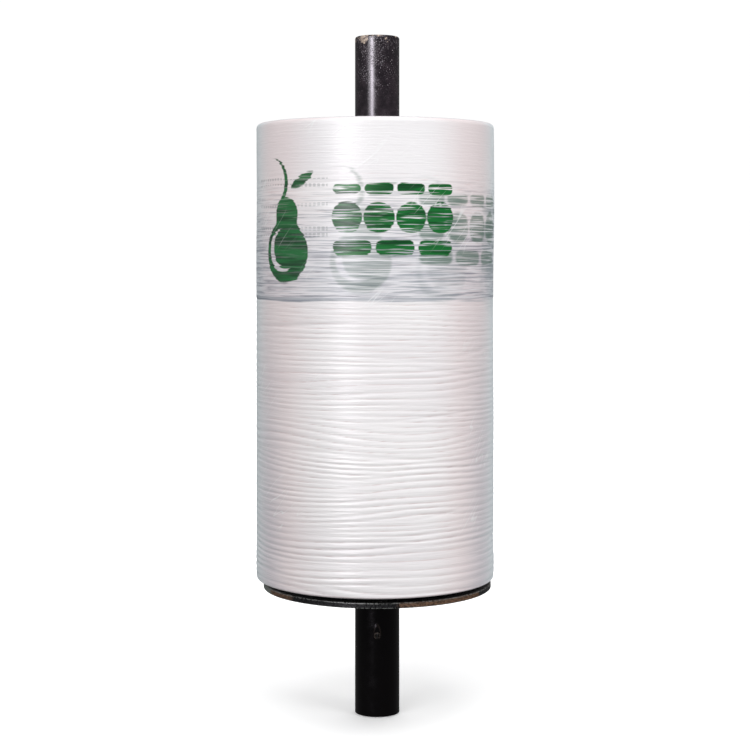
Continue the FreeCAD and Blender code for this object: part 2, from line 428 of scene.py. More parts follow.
def film_rows(inside):
    """Heights, inward steps and relief strengths up the film, at a depth inside its surface."""
    low_turn = np.linspace(-math.pi / 2, 0, CORNER_ROWS, endpoint=False)
    high_turn = np.linspace(0, math.pi / 2, CORNER_ROWS + 1)[1:]
    lower = LOWER_CORNER + (LOWER_CORNER - inside) * np.sin(low_turn)
    top_start = FILM_WIDTH - UPPER_CORNER
    upper = top_start + (UPPER_CORNER - inside) * np.sin(high_turn)
    middle = np.concatenate([
        np.arange(LOWER_CORNER, BAND_BOTTOM, RIDGE_STEP),
        np.arange(BAND_BOTTOM, BAND_TOP, BAND_STEP),
        np.arange(BAND_TOP, top_start, SMOOTH_STEP),
        [top_start],
    ])
    low_inset = CORNER_INSET - (CORNER_INSET - inside) * np.cos(low_turn)
    high_inset = CORNER_INSET - (CORNER_INSET - inside) * np.cos(high_turn)
    height = np.concatenate([lower, middle, upper])
    inset = np.concatenate([low_inset, np.full(len(middle), inside), high_inset])
    strength = np.concatenate([np.cos(low_turn), np.ones(len(middle)), np.cos(high_turn)])
    return height, inset, strength


# ---------------------------------------------------------------- film pieces


def tail_lift(end, height):
    """How far the free edge stands off the roll: in waves, and more at its two corners."""
    wave = TAIL_LIFT * (1 + 0.75 * tail_wave(end, height))
    from_corner = np.minimum(height, FILM_WIDTH - height) / TAIL_CORNER
    return wave + TAIL_CURL * np.exp(-from_corner * from_corner)


def film_sheet(name, node, tail):
    """One bag as a wrinkled sheet over its CAD node.

    It has a half of the perforation at its inner end. The outer bag has a torn, lifted tail at
    its other end, and the next bag has the other half of the perforation there.
    """
    (start, start_radius), (end, end_radius) = sheet_ends(node)
    count = round((end - start) / COLUMN_ANGLE)
    share = np.linspace(0, 1, count + 1)[None, :]
    height, inset, strength = (row[:, None] for row in film_rows(0.0))
    angle = start + (end - start) * share
    radius = start_radius + (end_radius - start_radius) * share
    surface = relief(angle, height)
    angle = np.broadcast_to(angle, surface.shape).copy()
    step = (height[:, 0] / SLIT_PITCH) % 1.0
    slit = SLIT_OPENING * (step < SLIT_SHARE)
    angle[:, 0] += slit
    if tail:
        angle[:, -1] += TAIL_TEETH * (4 * np.abs(step - 0.5) - 1)
        rise = ease((angle - (end - TAIL_SPAN)) / TAIL_SPAN)
        angle = angle + TAIL_WANDER * rise * tail_edge(end, height)
        surface = surface + rise * tail_lift(end, height)
    else:
        angle[:, -1] -= slit
    points = ring_points(radius - inset + strength * surface, angle, height)
    piece = add_mesh(name, points, closed_round=False)
    add_values(piece, "crest", ridges(angle, height))
    wall = piece.modifiers.new("thickness", "SOLIDIFY")
    wall.thickness = SHEET_THICKNESS
    wall.offset = -1
    piece.modifiers.new("shading", "WEIGHTED_NORMAL")
    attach(piece, "bag_roll")
    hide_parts(node)
    return piece


def end_layers(radius, angle, side):
    """The wound layers' edges on an end face, from 0 in a gap to 1 on an edge.

    The side is a number that makes the roll's two end faces differ.
    """
    total = np.zeros(np.broadcast(radius, angle).shape)
    for number, spacing in enumerate(RING_SPACINGS):
        drift = RING_DRIFT * np.sin((number + 1) * angle + side * (number + 2))
        total += np.abs(np.sin(math.pi * (radius / spacing + drift)))
    return total / len(RING_SPACINGS)


def wound_film(name):
    """All the bags beneath the outer two, with the layers' edges showing at both ends."""
    count = round(TURN / COLUMN_ANGLE)
    angle = np.linspace(0, TURN, count, endpoint=False)[None, :]
    height, inset, strength = (row[::KEPT_ROW, None] for row in film_rows(WOUND_INSIDE))
    mean = WOUND_RADIUS + WOUND_OUTSET
    side_radius = mean - inset + strength * relief(angle, height)
    side = ring_points(side_radius, angle, height)
    bore = CORE_RADIUS + BORE_GAP
    rim = mean - CORNER_INSET
    radii = np.arange(bore, rim, END_STEP)[:, None]
    upper = end_layers(radii, angle, 1.0)
    lower = end_layers(radii, angle, 2.0)
    top = ring_points(radii, angle, FILM_WIDTH - END_INSET - END_DEPTH * (1 - upper))
    base = ring_points(radii, angle, END_INSET + END_DEPTH * (1 - lower))
    points = np.concatenate([base, side, top[::-1]], axis=0)
    piece = add_mesh(name, points, closed_round=True, closed_across=True)
    crests = [lower, np.ones(side.shape[:2]), upper[::-1]]
    add_values(piece, "crest", np.concatenate(crests, axis=0))
    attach(piece, "bag_roll")
    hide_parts("wound_bags")
    return piece


def weld_bead(name):
    """The bead under the disc, laid in overlapping ripples."""
    low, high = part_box("disc_weld")
    leg = high.z - low.z
    angle = np.linspace(0, TURN, WELD_COLUMNS, endpoint=False)[None, :]
    sweep = np.linspace(0, math.pi / 2, WELD_ROWS)[:, None]
    ripple = 1 + 0.07 * np.sin(angle * WELD_RIPPLES + 1.3 * np.cos(sweep * 2)) + 0.03 * np.sin(angle * 5)
    bulge = leg * (0.72 + 0.16 * np.sin(2 * sweep)) * ripple
    radius = POST_RADIUS + bulge * np.cos(sweep) * 1.1
    drop = bulge * np.sin(sweep) * 1.1
    radius = np.concatenate([radius, np.full_like(angle, POST_RADIUS)], axis=0)
    drop = np.concatenate([drop, np.zeros_like(angle)], axis=0)
    points = np.stack(
        [radius * np.cos(angle), radius * np.sin(angle), DISC_UNDERSIDE - drop], axis=-1
    )
    piece = add_mesh(name, points, closed_round=True, closed_across=True)
    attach(piece, "post")
    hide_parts("disc_weld")
    return piece


# ---------------------------------------------------------------- node wiring


def colour(red, green, blue):
    """A display colour, 0 to 255 a channel, as the linear colour that nodes take."""
    linear = []
    for channel in (red, green, blue):
        value = channel / 255
        linear.append(value / 12.92 if value <= 0.04045 else ((value + 0.055) / 1.055) ** 2.4)
    return (*linear, 1.0)


class Graph:
    """Adds nodes to one node tree and wires values or other nodes' outputs into them."""

    def __init__(self, tree):
        self.tree = tree

    def add(self, kind, **settings):
        node = self.tree.nodes.new(kind)
        for key, value in settings.items():
            setattr(node, key, value)
        return node

    def feed(self, socket, value):
        if isinstance(value, bpy.types.NodeSocket):
            self.tree.links.new(value, socket)
        else:
            socket.default_value = value

    def math(self, operation, *values):
        node = self.add("ShaderNodeMath", operation=operation)
        for socket, value in zip(node.inputs, values):
            self.feed(socket, value)
        return node.outputs[0]

    def times(self, first, second):
        return self.math("MULTIPLY", first, second)

    def plus(self, first, second):
        return self.math("ADD", first, second)

    def minus(self, first, second):
        return self.math("SUBTRACT", first, second)

    def length(self, x, y):
        """The length of a flat vector from its two parts."""
        squares = self.plus(self.math("POWER", x, 2.0), self.math("POWER", y, 2.0))
        return self.math("SQRT", squares)

    def span(self, value, low, high, out_low=0.0, out_high=1.0):
        """Smooth step of a value from low to high."""
        node = self.add("ShaderNodeMapRange", interpolation_type="SMOOTHSTEP")
        for key, number in zip(("Value", "From Min", "From Max", "To Min", "To Max"),
                               (value, low, high, out_low, out_high)):
            self.feed(node.inputs[key], number)
        return node.outputs["Result"]

    def window(self, value, low, high, soft):
        """1 between low and high, falling to 0 over a soft edge."""
        rise = self.span(value, low - soft, low + soft)
        fall = self.span(value, high + soft, high - soft)
        return self.times(rise, fall)

    def noise(self, vector, scale, detail=2.0):
        node = self.add("ShaderNodeTexNoise")
        self.feed(node.inputs["Vector"], vector)
        node.inputs["Scale"].default_value = scale
        node.inputs["Detail"].default_value = detail
        return node.outputs["Fac"]

    def cells(self, vector, scale):
        """Distance to the nearest of many scattered points."""
        node = self.add("ShaderNodeTexVoronoi")
        self.feed(node.inputs["Vector"], vector)
        node.inputs["Scale"].default_value = scale
        return node.outputs["Distance"]

    def blend(self, share, first, second):
        node = self.add("ShaderNodeMix", data_type="RGBA")
        self.feed(node.inputs[0], share)
        self.feed(node.inputs[6], first)
        self.feed(node.inputs[7], second)
        return node.outputs[2]

    def join(self, x, y, z=0.0):
        node = self.add("ShaderNodeCombineXYZ")
        for socket, value in zip(node.inputs, (x, y, z)):
            self.feed(socket, value)
        return node.outputs[0]

    def place(self):
        """The point's place in its own piece."""
        return self.add("ShaderNodeTexCoord").outputs["Object"]

    def coordinates(self):
        """The same place as its three coordinates."""
        split = self.add("ShaderNodeSeparateXYZ")
        self.feed(split.inputs[0], self.place())
        return tuple(split.outputs)

    def bump(self, height, strength, distance):
        node = self.add("ShaderNodeBump")
        self.feed(node.inputs["Height"], height)
        node.inputs["Strength"].default_value = strength
        node.inputs["Distance"].default_value = distance
        return node.outputs[0]


def new_material(name):
    """A material, the graph of its node tree and its surface node."""
    material = bpy.data.materials.new(name)
    material.use_nodes = True
    graph = Graph(material.node_tree)
    return material, graph, material.node_tree.nodes["Principled BSDF"]


def set_finish(graph, surface, **values):
    """Feeds the surface node's inputs, each named with _ for a space."""
    for key, value in values.items():
        graph.feed(surface.inputs[key.replace("_", " ")], value)


# ---------------------------------------------------------------- the bags' print


def pear(graph, across, up):
    """Signed distance in mm to a plain pear with a highlight, a stalk and one leaf."""

    def circle(x, y, radius):
        return graph.minus(graph.length(graph.minus(across, x), graph.minus(up, y)), radius)

    def outside(shape):
        return graph.times(shape, -1.0)

    def both(first, second):
        return graph.math("MAXIMUM", first, second)

    body = graph.math("SMOOTH_MIN", circle(*PEAR_BELLY), circle(*PEAR_NECK), PEAR_WAIST_BLEND)
    highlight = both(circle(*HIGHLIGHT_OUTSIDE), outside(circle(*HIGHLIGHT_INSIDE)))
    body = both(body, outside(highlight))
    leaf = both(circle(*LEAF_LOWER_SIDE), circle(*LEAF_UPPER_SIDE))
    stalk = both(circle(*STALK_OUTSIDE), outside(circle(*STALK_INSIDE)))
    stalk = both(stalk, graph.minus(STALK_FOOT, up))
    return graph.math("MINIMUM", graph.math("MINIMUM", body, leaf), stalk)


def pill_row(graph, across, up, row, start, length):
    """Signed distance in mm to a row of round-ended bars; one as long as it is tall is a dot."""
    pitch = row["pitch"]
    cell = graph.math("FLOOR", graph.math("DIVIDE", graph.minus(across, start), pitch))
    centre = graph.math("MULTIPLY_ADD", cell, pitch, 0.5 * pitch + start)
    half_straight = 0.5 * (row["long"] - row["tall"])
    along = graph.math("ABSOLUTE", graph.minus(across, centre))
    beyond = graph.math("MAXIMUM", graph.minus(along, half_straight), 0.0)
    above = graph.minus(up, row["middle"])
    bar = graph.minus(graph.length(beyond, above), 0.5 * row["tall"])
    from_middle = graph.math("ABSOLUTE", graph.minus(across, start + 0.5 * length))
    ends = graph.minus(from_middle, 0.5 * length)
    return graph.math("MAXIMUM", bar, ends)


def pill_rows(graph, across, up, rows, start, length):
    """Signed distance in mm to several rows of bars or dots."""
    nearest, *others = [pill_row(graph, across, up, row, start, length) for row in rows]
    for other in others:
        nearest = graph.math("MINIMUM", nearest, other)
    return nearest


def print_group():
    """A node group: place on the film in, how much ink lies there out."""
    group = bpy.data.node_groups.new("bag_print", "ShaderNodeTree")
    for name in ("Across", "Up", "Soft"):
        group.interface.new_socket(name, in_out="INPUT", socket_type="NodeSocketFloat")
    for name in ("Emblem", "Rows"):
        group.interface.new_socket(name, in_out="OUTPUT", socket_type="NodeSocketFloat")
    graph = Graph(group)
    given = graph.add("NodeGroupInput").outputs
    result = graph.add("NodeGroupOutput").inputs
    across, up, soft = given["Across"], given["Up"], given["Soft"]
    less = graph.times(soft, -1.0)
    emblem = graph.span(pear(graph, across, up), soft, less)
    rows = pill_rows(graph, across, up, PRINT_ROWS, ROW_START, ROW_LENGTH)
    graph.feed(result["Emblem"], emblem)
    graph.feed(result["Rows"], graph.span(rows, soft, less))
    return group


# ---------------------------------------------------------------- the film's material


def film_coordinates(graph):
    """The film point's run round the roll from the front and its height, both in mm."""
    x, y, z = graph.coordinates()
    turn = graph.math("ARCTAN2", graph.minus(x, ROLL_CENTRE), graph.times(y, -1.0))
    across = graph.times(turn, SIDE_RADIUS)
    up = graph.times(z, 1000.0)

    def drawn_out(share):
        """The point's place with its run round the roll squeezed, which stretches a noise."""
        squeeze = 1000.0 * share
        return graph.join(graph.times(x, squeeze), up, graph.times(y, squeeze))

    return across, up, drawn_out


def on_roll_side(graph):
    """1 on the roll's side and 0 on its two end faces."""
    normal = graph.add("ShaderNodeSeparateXYZ")
    graph.feed(normal.inputs[0], graph.add("ShaderNodeNewGeometry").outputs["Normal"])
    return graph.span(graph.math("ABSOLUTE", normal.outputs[2]), 0.90, 0.55)


def milky_film(graph, broad, valley, on_end, up):
    """The film's milk: warm painted shade in its valleys, plain in the smooth band, greyer on the end
    faces, with painted shade in the gaps between the layers' edges there.
    """
    wrinkled = graph.span(up, BAND_TO + 4.0, BAND_TO - 14.0)
    smooth = graph.times(graph.minus(1.0, wrinkled), 0.5)
    fold_shade = graph.times(valley, graph.math("MAXIMUM", wrinkled, on_end))
    gap_shade = graph.times(graph.times(fold_shade, on_end), 0.5)
    milk = graph.blend(graph.span(broad, 0.35, 0.65), colour(248, 245, 246), colour(242, 238, 240))
    milk = graph.blend(smooth, milk, colour(234, 232, 235))
    milk = graph.blend(graph.times(on_end, 0.55), milk, colour(198, 196, 200))
    # Painted shade: the valleys of the ridges and folds are tinted darker and warm.
    milk = graph.blend(graph.times(fold_shade, 0.50), milk, colour(208, 182, 182))
    # Painted shade: the gaps between the wound layers' edges on the end faces are darkened.
    return graph.blend(gap_shade, milk, colour(140, 136, 140))


def painted_side_shading(graph, base, on_side, up):
    """Painted light where the roll turns from view: a warm painted shade toward the sides, deeper
    painted shade low down there, and a cool, pale painted reflection along the rim.
    """
    facing = graph.add("ShaderNodeLayerWeight")
    facing.inputs["Blend"].default_value = 0.5
    edge = graph.times(facing.outputs["Facing"], on_side)
    low_down = graph.span(up, 290.0, 100.0, 0.0, 0.55)
    shaded = graph.times(graph.span(edge, 0.25, 0.60), low_down)
    # Painted shade toward the sides, deeper painted shade low down, then a pale painted reflection at
    # the rim.
    base = graph.blend(graph.span(edge, 0.08, 0.38, 0.0, 0.46), base, colour(234, 210, 210))
    base = graph.blend(shaded, base, colour(196, 196, 206))
    return graph.blend(graph.span(edge, 0.50, 0.92, 0.0, 0.90), base, colour(240, 251, 255))


def bare_film(graph, broad, valley, up):
    """The film before any print shows in it, with painted shade in its valleys and toward its sides, and
    a painted reflection along its rim.
    """
    on_side = on_roll_side(graph)
    on_end = graph.minus(1.0, on_side)
    base = milky_film(graph, broad, valley, on_end, up)
    return painted_side_shading(graph, base, on_side, up)


def band_masks(graph, level):
    """From 0 to 1, where the band is grey and how far up its fine lines reach."""
    foot = graph.span(level, BAND_FROM - 0.8, BAND_FROM + 0.8)
    band = graph.times(foot, graph.span(level, BAND_TO - 6.0, BAND_FROM + 14.0))
    reach = graph.times(foot, graph.span(level, BAND_TO + 4.0, BAND_TO - 30.0))
    return band, reach


def band_shading(graph, base, band, reach, valley, streaks, thread):
    """The grey that deeper bags' print gives the band, with fine level lines in it and painted shade in
    its valleys.
    """
    lines = graph.times(band, graph.span(streaks, 0.50, 0.60))
    fold_shade = graph.times(band, valley)
    dark_threads = graph.times(reach, graph.span(thread, 0.53, 0.60))
    base = graph.blend(graph.times(band, 0.26), base, colour(172, 178, 194))
    base = graph.blend(graph.times(lines, 0.32), base, colour(112, 122, 138))
    # Painted shade: the band's valleys are darkened to grey-blue.
    base = graph.blend(graph.times(fold_shade, 0.45), base, colour(92, 102, 118))
    return graph.blend(graph.times(dark_threads, 0.42), base, colour(92, 102, 120))


def print_at(graph, group, across, level, step, soft):
    """The print of the bag that lies a number of layers down, as its emblem and its rows."""
    mark = graph.add("ShaderNodeGroup", node_tree=group)
    graph.feed(mark.inputs["Across"], graph.minus(across, BAG_STEP * step))
    graph.feed(mark.inputs["Up"], graph.plus(level, GHOST_DROP * step))
    mark.inputs["Soft"].default_value = soft
    return mark.outputs["Emblem"], mark.outputs["Rows"]


def slanting_pulls(graph, across, up):
    """Thin slanting pull lines in a few patches, clear of the join at the back."""
    slant = graph.math("MULTIPLY_ADD", up, 0.9, across)
    counter = graph.minus(up, graph.times(across, 0.9))
    stretched = graph.join(graph.times(slant, 0.012), graph.times(counter, 0.10))
    line = graph.math("ABSOLUTE", graph.minus(graph.noise(stretched, scale=1.0, detail=1.0), 0.5))
    patch = graph.span(graph.noise(graph.join(across, up), scale=0.020, detail=1.0), 0.54, 0.66)
    left_side = graph.window(across, -96.0, -72.0, 6.0)
    left_side = graph.times(left_side, graph.window(up, 262.0, 308.0, 8.0))
    patch = graph.math("MAXIMUM", patch, left_side)
    front = graph.span(graph.math("ABSOLUTE", across), 205.0, 180.0)
    return graph.times(graph.span(line, 0.014, 0.002), graph.times(patch, front))


def deeper_prints(graph, base, group, across, level, thread):
    """The prints of the bags beneath, the deepest first, each broken up by the film's threads."""
    whole = graph.span(thread, 0.40, 0.54, 0.30, 1.0)
    for step, strength, shade in GHOSTS:
        soft = GHOST_SOFT + GHOST_SOFTER * step
        emblem, rows = print_at(graph, group, across, level, step, soft)
        either = graph.math("MAXIMUM", graph.times(emblem, GHOST_EMBLEM), rows)
        share = graph.times(graph.times(either, whole), strength)
        base = graph.blend(share, base, colour(*shade))
    return base


def band_marks(graph, base, reach, across, level, thread):
    """Rows of small dashes, pale threads over them, and the line along the band's lower edge."""
    dashes = pill_rows(graph, across, level, DASH_ROWS, DASH_START, DASH_LENGTH)
    dashes = graph.span(dashes, 0.3, -0.3)
    pale_threads = graph.times(reach, graph.span(thread, 0.43, 0.37))
    lower_line = graph.window(level, BAND_FROM - 0.4, BAND_FROM + 1.6, 0.5)
    lower_line = graph.times(lower_line, graph.span(across, 60.0, -70.0, 0.12, 0.55))
    base = graph.blend(graph.times(dashes, 0.34), base, colour(84, 100, 100))
    base = graph.blend(graph.times(pale_threads, 0.5), base, colour(240, 240, 244))
    return graph.blend(lower_line, base, colour(118, 130, 142))


def outer_print(graph, base, group, across, level, streaks, thread):
    """The outermost bag's own print: a green emblem and deeper green rows with thin gaps."""
    emblem, rows = print_at(graph, group, across, level, 0, PRINT_SOFT)
    green = graph.blend(graph.span(streaks, 0.38, 0.60), colour(4, 66, 32), colour(26, 108, 54))
    deep_green = graph.blend(graph.span(streaks, 0.35, 0.55), colour(2, 62, 28), colour(12, 108, 44))
    inked = graph.span(thread, 0.62, 0.54, 0.80, 0.98)
    unbroken = graph.math("MINIMUM", graph.span(streaks, 0.65, 0.59), graph.span(thread, 0.65, 0.58))
    base = graph.blend(graph.times(emblem, inked), base, green)
    return graph.blend(graph.times(rows, unbroken), base, deep_green)


def film_material():
    """Milky layered film with the bags' print, its fainter repeats and fine pulls, with painted shade, a
    painted rim reflection and a painted highlight on the slanting pulls.
    """
    material, graph, surface = new_material("bag_film_milky")
    across, up, drawn_out = film_coordinates(graph)
    streaks = graph.noise(drawn_out(0.05), scale=0.55, detail=3.0)
    broad = graph.noise(drawn_out(0.3), scale=0.035, detail=2.0)
    thread = graph.noise(drawn_out(0.03), scale=1.15, detail=2.0)
    fine_pulls = graph.noise(drawn_out(0.16), scale=1.1, detail=3.0)
    crest_layer = graph.add("ShaderNodeAttribute", attribute_name="crest").outputs["Fac"]
    valley = graph.span(crest_layer, 0.62, 0.12)
    wobble = graph.math("MULTIPLY_ADD", streaks, PRINT_WOBBLE, -0.5 * PRINT_WOBBLE)
    level = graph.plus(up, wobble)
    band, reach = band_masks(graph, level)
    group = print_group()
    pull_and_highlight = slanting_pulls(graph, across, up)

    base = bare_film(graph, broad, valley, up)
    base = band_shading(graph, base, band, reach, valley, streaks, thread)
    base = deeper_prints(graph, base, group, across, level, thread)
    base = band_marks(graph, base, reach, across, level, thread)
    base = outer_print(graph, base, group, across, level, streaks, thread)
    # Painted highlight: the slanting pull lines are lightened, as well as raised by the bump below.
    base = graph.blend(graph.times(pull_and_highlight, 0.42), base, colour(250, 252, 252))

    height = graph.math("MULTIPLY_ADD", thread, 1.4, fine_pulls)
    height = graph.math("MULTIPLY_ADD", pull_and_highlight, 0.8, height)
    set_finish(
        graph, surface,
        Base_Color=base,
        Roughness=graph.span(fine_pulls, 0.3, 0.7, 0.30, 0.42),
        Subsurface_Weight=0.12,
        Subsurface_Radius=(1.0, 0.95, 0.92),
        Subsurface_Scale=2 * MM,
        Specular_IOR_Level=0.5,
        Normal=graph.bump(height, 0.25, 0.4 * MM),
    )
    return material


# ---------------------------------------------------------------- paint, board, plastic, steel


def paint_run(graph, x, y, z):
    """The drop-shaped run of enamel at the front, round the pin: its thickness, and its outline for a
    painted highlight.
    """
    pin_low, pin_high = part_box("spring_pin")
    above = graph.minus(z, (pin_low.z + pin_high.z) / 2)
    stretched = graph.times(above, RUN_STRETCH)
    reach = graph.math("MAXIMUM", stretched, graph.times(above, -1.0))
    distance = graph.length(x, reach)
    front = graph.math("LESS_THAN", y, 0.0)
    thickness = graph.times(front, graph.span(distance, RUN_RADIUS, 0.6 * RUN_RADIUS))
    outline = graph.window(distance, 0.66 * RUN_RADIUS, 0.86 * RUN_RADIUS, 0.1 * RUN_RADIUS)
    return thickness, graph.times(front, outline)


def chipped_patches(graph, place, z, coarse):
    """Where the enamel is chipped off: along the post's upper edge and at one large chip."""
    near_top = graph.span(z, POST_TOP - 11 * MM, POST_TOP)
    from_chip = graph.add("ShaderNodeVectorMath", operation="DISTANCE")
    graph.feed(from_chip.inputs[0], place)
    graph.feed(from_chip.inputs[1], (*CHIP_SIDE, POST_TOP - CHIP_DROP))
    chip = graph.span(from_chip.outputs["Value"], CHIP_RADIUS, 0.2 * CHIP_RADIUS, 0.0, 0.34)
    level = graph.math("MULTIPLY_ADD", near_top, 0.345, graph.minus(coarse, 0.25))
    return graph.span(graph.plus(level, chip), 0.63, 0.67)


def pits_specks_and_glints(graph, place, z, fine):
    """Clusters of pits on the upper post, the pale specks among them, and a painted glint on the pits'
    lips.
    """
    upper = graph.span(z, POST_TOP - 42 * MM, POST_TOP - 6 * MM)
    clusters = graph.times(upper, graph.span(graph.noise(place, scale=130.0, detail=2.0), 0.44, 0.56))
    pits = graph.noise(place, scale=1250.0, detail=2.0)
    pitted = graph.times(clusters, graph.span(pits, 0.55, 0.60))
    lip_glints = graph.times(clusters, graph.window(pits, 0.60, 0.64, 0.012))
    specks = graph.span(graph.cells(place, scale=640.0), 0.26, 0.16)
    specks = graph.times(specks, graph.times(upper, graph.span(fine, 0.48, 0.58)))
    return pitted, graph.math("MAXIMUM", specks, graph.times(lip_glints, 0.55))


def post_paint():
    """Gloss black enamel, dulled, pitted and chipped where rolls slide on, with painted shade at the
    foot and a painted sheen up the post.
    """
    material, graph, surface = new_material("post_enamel")
    place = graph.place()
    x, y, z = graph.coordinates()
    rubbed_and_lit = graph.span(z, DISC_TOP, POST_TOP - 60 * MM)
    coarse = graph.noise(place, scale=210.0, detail=4.0)
    fine = graph.noise(place, scale=900.0, detail=3.0)
    chipped = chipped_patches(graph, place, z, coarse)
    pitted, specks = pits_specks_and_glints(graph, place, z, fine)
    run, run_outline_highlight = paint_run(graph, x, y, z)

    # From near black below the disc to a lighter dulled colour higher up: partly wear where rolls slide,
    # partly painted shade under the disc and a painted sheen above.
    clean_and_shaded = colour(5, 4, 4)
    dulled_and_lit = graph.blend(graph.span(coarse, 0.35, 0.7), colour(24, 19, 24), colour(40, 32, 38))
    worn = graph.blend(graph.span(fine, 0.4, 0.6), colour(104, 90, 84), colour(188, 170, 152))
    base = graph.blend(rubbed_and_lit, clean_and_shaded, dulled_and_lit)
    base = graph.blend(chipped, base, worn)
    # Pale specks where the enamel is worn, and painted glints on the pits' lips.
    base = graph.blend(graph.times(specks, 0.8), base, colour(168, 160, 164))
    # Painted highlight: the run's outline is lightened where its bead catches the light.
    base = graph.blend(graph.times(run_outline_highlight, 0.4), base, colour(62, 54, 48))

    peel = graph.math("MULTIPLY_ADD", fine, 0.06, graph.times(coarse, 0.5))
    height = graph.minus(peel, graph.plus(chipped, specks))
    height = graph.plus(height, graph.times(pitted, 1.3))
    height = graph.math("MULTIPLY_ADD", run, 2.0, height)
    gloss = graph.span(coarse, 0.3, 0.7, 0.18, 0.28)
    set_finish(
        graph, surface,
        Base_Color=base,
        Roughness=graph.math("MULTIPLY_ADD", chipped, 0.25, gloss),
        Specular_IOR_Level=graph.math("MULTIPLY_ADD", rubbed_and_lit, 0.56, 0.24),
        Specular_Tint=(0.98, 0.93, 1.0, 1.0),
        Coat_Weight=graph.times(rubbed_and_lit, graph.span(chipped, 1.0, 0.0, 0.0, 0.35)),
        Coat_Roughness=0.2,
        Normal=graph.bump(height, 0.4, 0.35 * MM),
    )
    return material


def worn_brown(graph, turn, ragged, patches):
    """Where the disc's rim is worn to brown: in set arcs at the front, in patches behind."""
    behind = graph.span(graph.math("ABSOLUTE", turn), WORN_FRONT, WORN_FRONT + 4 * ARC_SOFT)
    share = graph.times(behind, graph.span(patches, 0.46, 0.58))
    for start, end in WORN_ARCS:
        share = graph.math("MAXIMUM", share, graph.window(ragged, start, end, ARC_SOFT))
    return share


def disc_edges(graph, z, rim):
    """1 on the two edges of the disc's rim."""
    middle = (DISC_UNDERSIDE + DISC_TOP) / 2
    half = (DISC_TOP - DISC_UNDERSIDE) / 2
    from_middle = graph.math("ABSOLUTE", graph.minus(z, middle))
    return graph.times(graph.span(from_middle, half - 0.7 * MM, half - 0.2 * MM), rim)


def disc_paint():
    """Black enamel worn to brown around the disc's rim, with a painted reflection at the rim's left
    front, and its edges rubbed bright and given a painted highlight.
    """
    material, graph, surface = new_material("disc_enamel")
    place = graph.place()
    x, y, z = graph.coordinates()
    radius = graph.length(x, y)
    rim = graph.span(radius, DISC_RADIUS - 1.6 * MM, DISC_RADIUS - 0.3 * MM)
    patches = graph.noise(place, scale=38.0, detail=3.0)
    grit = graph.noise(place, scale=1100.0, detail=3.0)
    turn = graph.math("ARCTAN2", x, graph.times(y, -1.0))
    ragged = graph.plus(turn, graph.math("MULTIPLY_ADD", grit, 0.10, -0.05))
    worn = graph.times(rim, worn_brown(graph, turn, ragged, patches))
    rim_reflection = graph.times(rim, graph.window(ragged, *REFLECTION_ARC, ARC_SOFT))
    rubbed_and_lit = graph.times(disc_edges(graph, z, rim), graph.span(grit, 0.42, 0.58))

    brown = graph.blend(graph.span(grit, 0.35, 0.65), colour(52, 36, 26), colour(118, 88, 66))
    black = graph.blend(graph.span(grit, 0.4, 0.7), colour(12, 12, 14), colour(34, 34, 38))
    base = graph.blend(worn, black, brown)
    # Painted reflection: a pale grey-green stretch at the rim's left front.
    base = graph.blend(graph.times(rim_reflection, 0.75), base, colour(120, 128, 120))
    # The rim's two edges: partly rubbed bright, partly a painted highlight.
    base = graph.blend(rubbed_and_lit, base, colour(126, 128, 126))

    rings = graph.math("SINE", graph.times(radius, 2600.0))
    scuffs = graph.plus(graph.times(rings, 0.05), grit)
    set_finish(
        graph, surface,
        Base_Color=base,
        Roughness=graph.math("MULTIPLY_ADD", worn, 0.25, graph.span(grit, 0.3, 0.7, 0.24, 0.38)),
        Normal=graph.bump(scuffs, 0.25, 0.3 * MM),
    )
    return material


def core_board():
    """Grey-brown paperboard wound in a spiral, with its ply seams and fibres."""
    material, graph, surface = new_material("core_board_kraft")
    place = graph.place()
    x, y, z = graph.coordinates()
    turn = graph.math("ARCTAN2", y, graph.minus(x, ROLL_CENTRE))
    spiral = graph.plus(graph.math("DIVIDE", z, CORE_PITCH), graph.math("DIVIDE", turn, TURN))
    seam = graph.math("ABSOLUTE", graph.minus(graph.math("FRACT", spiral), 0.5))
    seam = graph.span(seam, 0.012, 0.003)
    radius = graph.length(graph.minus(x, ROLL_CENTRE), y)
    plies = graph.math("SINE", graph.times(radius, TURN / CORE_PLY))
    fibres = graph.noise(place, scale=1300.0, detail=4.0)
    mottle = graph.noise(place, scale=120.0, detail=3.0)
    board = graph.blend(graph.span(mottle, 0.35, 0.65), colour(150, 124, 92), colour(178, 152, 118))
    board = graph.blend(graph.span(fibres, 0.5, 0.72, 0.0, 0.5), board, colour(206, 186, 156))
    board = graph.blend(graph.times(graph.span(plies, 0.2, 1.0), 0.25), board, colour(112, 88, 62))
    board = graph.blend(graph.times(seam, 0.7), board, colour(92, 70, 48))
    height = graph.minus(fibres, graph.times(seam, 0.8))
    set_finish(
        graph, surface,
        Base_Color=board,
        Roughness=graph.span(fibres, 0.3, 0.7, 0.78, 0.92),
        Normal=graph.bump(height, 0.4, 0.2 * MM),
    )
    return material


def plug_plastic():
    """Black moulded plastic with a fine spark-eroded grain and faint clouding."""
    material, graph, surface = new_material("plug_moulded")
    place = graph.place()
    grain = graph.noise(place, scale=2600.0, detail=3.0)
    cloud = graph.noise(place, scale=160.0, detail=2.0)
    base = graph.blend(graph.span(cloud, 0.3, 0.7), colour(24, 24, 26), colour(40, 40, 42))
    set_finish(
        graph, surface,
        Base_Color=base,
        Roughness=graph.span(grain, 0.3, 0.7, 0.46, 0.64),
        Normal=graph.bump(grain, 0.3, 0.1 * MM),
    )
    return material


